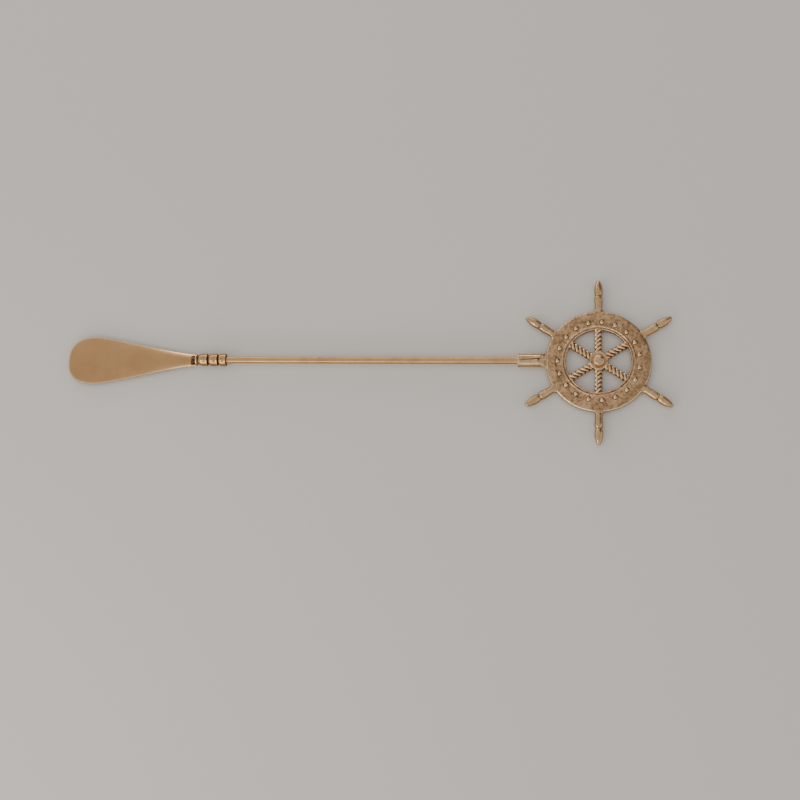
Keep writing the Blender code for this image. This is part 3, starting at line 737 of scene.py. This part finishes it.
def makeSpokes():
    full = rope["lay"] + rope["strand"]
    least = ropeRadius(math.pi / rope["strands"])
    for number in range(1, 7):
        turn = directionOf(f"hand_grip_{number}")
        bm = bmesh.new()
        section = []
        for k in range(rope["around"]):
            angle = 2 * math.pi * k / rope["around"]
            radius = ropeRadius(angle)
            section.append(bm.verts.new((rope["start"], radius * math.sin(angle), radius * math.cos(angle))))
        loop = [bm.edges.new((a, b)) for a, b in zip(section, section[1:] + section[:1])]
        length = rope["end"] - rope["start"]
        bmesh.ops.spin(bm, geom=section + loop, cent=(0, 0, 0), axis=(1, 0, 0),
                       dvec=(length / rope["along"], 0, 0), angle=2 * math.pi * length / rope["pitch"],
                       steps=rope["along"])
        bmesh.ops.holes_fill(bm, edges=[e for e in bm.edges if e.is_boundary], sides=0)
        soilAndShade = bm.verts.layers.float.new("soilAndShade")
        ridge = bm.verts.layers.float.new("edge")
        for v in bm.verts:
            radius = math.hypot(v.co.y, v.co.z)
            v[soilAndShade] = max(0, min(1, 0.75 - (radius - least) / (0.42 * (full - least))))
            v[ridge] = max(0, min(0.4, (radius - 0.86 * full) / (0.3 * full)))
            ending = min(1, max(0, (rope["end"] - v.co.x) / (1.6 * mm)))
            shrink = 0.72 + 0.28 * math.sqrt(ending) + 0.03 * wobble((v.co.x, number, 0), 3 * mm, number)
            v.co.y *= shrink
            v.co.z *= shrink
        spin = Matrix.Translation(wheelCentre) @ Matrix.Rotation(turn, 4, "Z")
        addPiece(f"ropeSpoke{number}", bm, ropeBrass, [f"rope_spoke_{number}"], spin, 80)


grip = {
    # (radius from the wheel's centre, half thickness), in millimetres
    "shank": [(44.6, 3.3), (46.0, 3.3), (47.2, 3.14), (49.0, 3.1), (51.5, 3.22), (54.5, 3.5), (57.0, 3.7),
              (58.6, 3.66), (59.8, 3.35), (60.5, 2.85), (60.85, 2.55)],
    "knob": [(60.85, 2.55), (61.2, 2.8), (61.9, 3.15), (63.4, 3.55), (65.4, 3.72), (67.8, 3.55), (70.3, 3.1),
             (72.6, 2.45), (74.3, 1.75), (75.3, 1.05), (75.7, 0.0)],
    "foot": 3.0 * mm, "footWide": 0.42, "footFlat": 0.25,
}


def makeGrips():
    for number in range(1, 7):
        line = [(44.6 * mm, 0)] + [(x * mm, r * mm) for x, r in smoothLine(grip["shank"], 5)[:-1]]
        line += [(x * mm, max(0, r) * mm) for x, r in smoothLine(grip["knob"], 5)]
        bm = spinLine(line, 64, "X")
        mark(bm, "soilAndShade", lambda p: 0.95 - abs(p.x - 60.85 * mm) / (0.6 * mm))
        for v in bm.verts:
            shift = 1 + 0.012 * wobble(v.co, 6 * mm, 20 + number)
            foot = min(1, max(0, (46.1 * mm + grip["foot"] - v.co.x) / grip["foot"]))
            v.co.y *= shift * (1 + grip["footWide"] * foot ** 2.5)
            v.co.z *= min(shift, 1) * (1 - grip["footFlat"] * foot)
        spin = Matrix.Translation(wheelCentre) @ Matrix.Rotation(directionOf(f"hand_grip_{number}"), 4, "Z")
        addPiece(f"handGrip{number}", bm, gripBrass, [f"hand_grip_{number}"], spin)


hub = {
    # (radius, height over the middle plane), in millimetres
    "ring": [(1.6, -2.7), (7.6, -2.7), (8.3, -2.2), (8.6, -1.2), (8.6, 1.2), (8.45, 2.2),
             (8.0, 2.85), (7.3, 3.0), (6.6, 2.8), (6.0, 2.45), (5.5, 2.35), (1.6, 2.3)],
    "dome": [(5.5, 2.1), (5.55, 2.7), (5.45, 3.4), (5.05, 4.3), (4.35, 5.15), (3.3, 5.85),
             (1.8, 6.3), (0.0, 6.45)],
    "lobes": 1.5 * mm, "lobesFrom": 7 * mm, "rough": 0.35 * mm,
    "seam": 5.9 * mm, "seamWide": 0.7 * mm, "domeFoot": 2.1 * mm,
    "darkReflectionAt": Vector((3.6, 2.2)) * mm, "darkReflectionWide": 1.9 * mm,
}


def ringSoil(p):
    if p.z <= 0:
        return 0.2
    return 0.35 + 0.6 * wobble(p, 4 * mm, 17) - abs(p.xy.length - hub["seam"]) / hub["seamWide"]


# patina at the dome's foot, and a painted dark reflection on the dome's side towards +x and +y
def capSoilAndReflection(p):
    foot = 0.3 + 0.6 * wobble(p, 4 * mm, 18) - (p.z - 2.4 * mm) / (0.7 * mm)
    return max(foot, 1.0 - (p.xy - hub["darkReflectionAt"]).length / hub["darkReflectionWide"])


def makeHub():
    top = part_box("hub_cap")[1].z - wheelCentre.z
    line = [(h * mm, r * mm) for r, h in smoothLine(hub["ring"], 4)]
    bm = spinLine(line, 120, "Z", closed=True)
    mark(bm, "soilAndShade", ringSoil)
    spokes = [directionOf(f"hand_grip_{n}") for n in range(1, 7)]
    for v in bm.verts:
        r = v.co.xy.length
        if r > hub["lobesFrom"]:
            near = max(math.cos(math.atan2(v.co.y, v.co.x) - a) for a in spokes)
            lobe = hub["lobes"] * (near ** 10 - 0.5) + hub["rough"] * wobble(v.co, 3 * mm, 8)
            v.co.xy *= (r + lobe) / r
            if v.co.z > 0:
                v.co.z -= hub["rough"] * (0.5 + 0.9 * wobble(v.co, 2.4 * mm, 9))
    addPiece("wheelHub", bm, hubBrass, ["wheel_hub"], Matrix.Translation(wheelCentre))
    scale = top / (hub["dome"][-1][1] * mm)
    line = [(hub["domeFoot"], 0)] + [(h * mm * scale, r * mm) for r, h in smoothLine(hub["dome"], 5)]
    bm = spinLine(line, 96, "Z")
    mark(bm, "soilAndShade", capSoilAndReflection)
    for v in bm.verts:
        v.co.z -= max(0, 0.3 * mm * (0.5 + wobble(v.co, 2.6 * mm, 14)))
        v.co.xy *= 1 - 0.05 * max(0, 0.5 + wobble(v.co, 3.5 * mm, 15))
    addPiece("hubCap", bm, hubBrass, ["hub_cap"], Matrix.Translation(wheelCentre))


makeSpokes()
makeGrips()
makeHub()
print("wheel done")


studio = {
    "floor": (0.72, 0.73, 0.745), "floorInMetal": (0.46, 0.43, 0.38), "floorSize": 3.0,
    "sky": (0.665, 0.615, 0.555), "skyStrength": 1.12, "lowSky": 1.4,
    "flag": Vector((0.62, 0.62, 0.42)).normalized(), "flagDark": 0.2,
}


def makeFloor():
    bm = bmesh.new()
    bmesh.ops.create_grid(bm, x_segments=8, y_segments=8, size=studio["floorSize"])
    bmesh.ops.translate(bm, vec=(0, 0, -0.1 * mm), verts=bm.verts)
    mesh = bpy.data.meshes.new("floor")
    bm.to_mesh(mesh)
    bm.free()
    floor = bpy.data.objects.new("floor", mesh)
    bpy.context.scene.collection.objects.link(floor)
    paper = bpy.data.materials.new("palePaper")
    paper.use_nodes = True
    shader = paper.node_tree.nodes["Principled BSDF"]
    rays = paper.node_tree.nodes.new("ShaderNodeLightPath")
    seen = mixNode(paper.node_tree, rays.outputs["Is Glossy Ray"], studio["floor"], studio["floorInMetal"])
    paper.node_tree.links.new(seen, shader.inputs["Base Color"])
    shader.inputs["Roughness"].default_value = 0.85
    mesh.materials.append(paper)


def addLight(name, place, target, size, power, colour):
    light = bpy.data.lights.new(name, "AREA")
    light.shape = "RECTANGLE"
    light.size, light.size_y = size
    light.energy = power
    light.color = colour
    made = bpy.data.objects.new(name, light)
    made.location = place
    made.rotation_euler = (Vector(target) - Vector(place)).to_track_quat("-Z", "Y").to_euler()
    bpy.context.scene.collection.objects.link(made)


def makeWorld():
    world = bpy.data.worlds.new("studio")
    bpy.context.scene.world = world
    world.use_nodes = True
    tree = world.node_tree
    back = tree.nodes["Background"]
    coords = tree.nodes.new("ShaderNodeTexCoord")
    dot = addNode(tree, "ShaderNodeVectorMath", operation="DOT_PRODUCT")
    tree.links.new(coords.outputs["Generated"], dot.inputs[0])
    dot.inputs[1].default_value = studio["flag"]
    shade = rampNode(tree, dot.outputs["Value"], 0.80, 0.97, 1.0, studio["flagDark"])
    split = tree.nodes.new("ShaderNodeSeparateXYZ")
    tree.links.new(coords.outputs["Generated"], split.inputs[0])
    height = rampNode(tree, split.outputs["Z"], 0.25, 0.62, studio["lowSky"], 1.0)
    shade = mathNode(tree, "MULTIPLY", shade, height)
    sky = addNode(tree, "ShaderNodeVectorMath", operation="SCALE")
    sky.inputs[0].default_value = studio["sky"]
    tree.links.new(shade, sky.inputs["Scale"])
    tree.links.new(sky.outputs[0], back.inputs["Color"])
    back.inputs["Strength"].default_value = studio["skyStrength"]


makeFloor()
makeWorld()
addLight("keyLight", (-0.75, -1.2, 0.36), (0.05, 0, 0), (1.6, 0.3), 5.5, (1.0, 0.90, 0.76))
addLight("wheelLight", wheelCentre + Vector((-0.84, -0.516, 0.648)), wheelCentre, (0.3, 0.3), 1.3,
         (1.0, 0.92, 0.80))
addLight("farStrip", (-0.4, 1.25, 0.26), (0.05, 0, 0), (1.7, 0.22), 3, (1.0, 0.92, 0.80))

cameraPlace = {"from": Vector((-0.0333, -0.3706, 1.1845)), "turn": (15.9, 6.205, 2.055), "lens": 63}
lens = bpy.data.cameras.new("camera")
lens.lens = cameraPlace["lens"]
lens.sensor_width = 36
lens.clip_end = 20
camera = bpy.data.objects.new("camera", lens)
camera.location = wheelCentre + cameraPlace["from"]
camera.rotation_euler = [math.radians(a) for a in cameraPlace["turn"]]
bpy.context.scene.collection.objects.link(camera)
bpy.context.scene.camera = camera
print("stage done")
